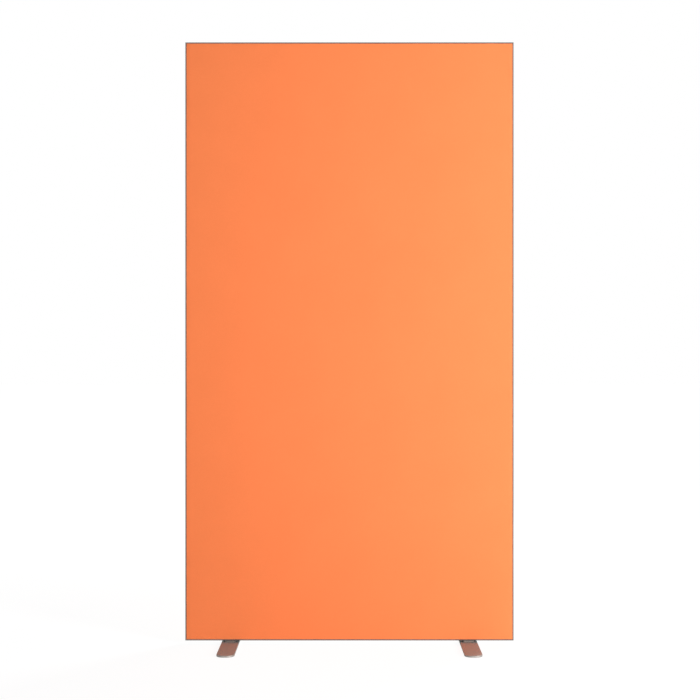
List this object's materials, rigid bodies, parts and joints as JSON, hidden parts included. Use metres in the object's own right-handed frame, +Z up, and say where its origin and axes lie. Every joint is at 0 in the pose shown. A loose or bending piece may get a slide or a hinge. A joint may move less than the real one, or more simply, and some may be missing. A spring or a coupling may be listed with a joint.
{
  "type": "partition screen",
  "caption": "Free-standing two-sided fabric partition screen: slim aluminium frame with stretched orange covers front and back, on two flat steel feet.",
  "frame": {"origin": "on the floor, under the middle of the panel", "axes": "+Z up, -Y towards the viewer of the front cover, +X to that viewer's right"},
  "size_m": [0.945, 0.4, 1.7335],
  "materials": {
    "frame_aluminium": "satin",
    "cover_cloth": "matte",
    "silicone": "satin",
    "screw_steel": "satin",
    "connector_casting": "matte",
    "zinc_steel": "satin",
    "core_board": "matte",
    "pad_rubber": "matte",
    "foot_steel": "satin",
    "spacer_steel": "satin",
    "crossbar_aluminium": "satin",
    "bracket_casting": "matte"
  },
  "bodies": {
    "root": {"bottom_left_connector": "connector_casting", "bottom_rail": "frame_aluminium", "bottom_right_connector": "connector_casting", "bracket_screws": "screw_steel", "connector_screws": "screw_steel", "crossbar": "crossbar_aluminium", "foot_screws": "screw_steel", "front_bottom_strip": "silicone", "front_cover": "cover_cloth", "front_left_strip": "silicone", "front_right_strip": "silicone", "front_top_strip": "silicone", "left_crossbar_bracket": "bracket_casting", "left_foot": "foot_steel", "left_foot_nut_block": "zinc_steel", "left_foot_pads": "pad_rubber", "left_foot_spacer": "spacer_steel", "left_upright": "frame_aluminium", "lower_core_board": "core_board", "rear_bottom_strip": "silicone", "rear_cover": "cover_cloth", "rear_left_strip": "silicone", "rear_right_strip": "silicone", "rear_top_strip": "silicone", "right_crossbar_bracket": "bracket_casting", "right_foot": "foot_steel", "right_foot_nut_block": "zinc_steel", "right_foot_pads": "pad_rubber", "right_foot_spacer": "spacer_steel", "right_upright": "frame_aluminium", "top_left_connector": "connector_casting", "top_rail": "frame_aluminium", "top_right_connector": "connector_casting", "upper_core_board": "core_board"}
  },
  "joints": []
}
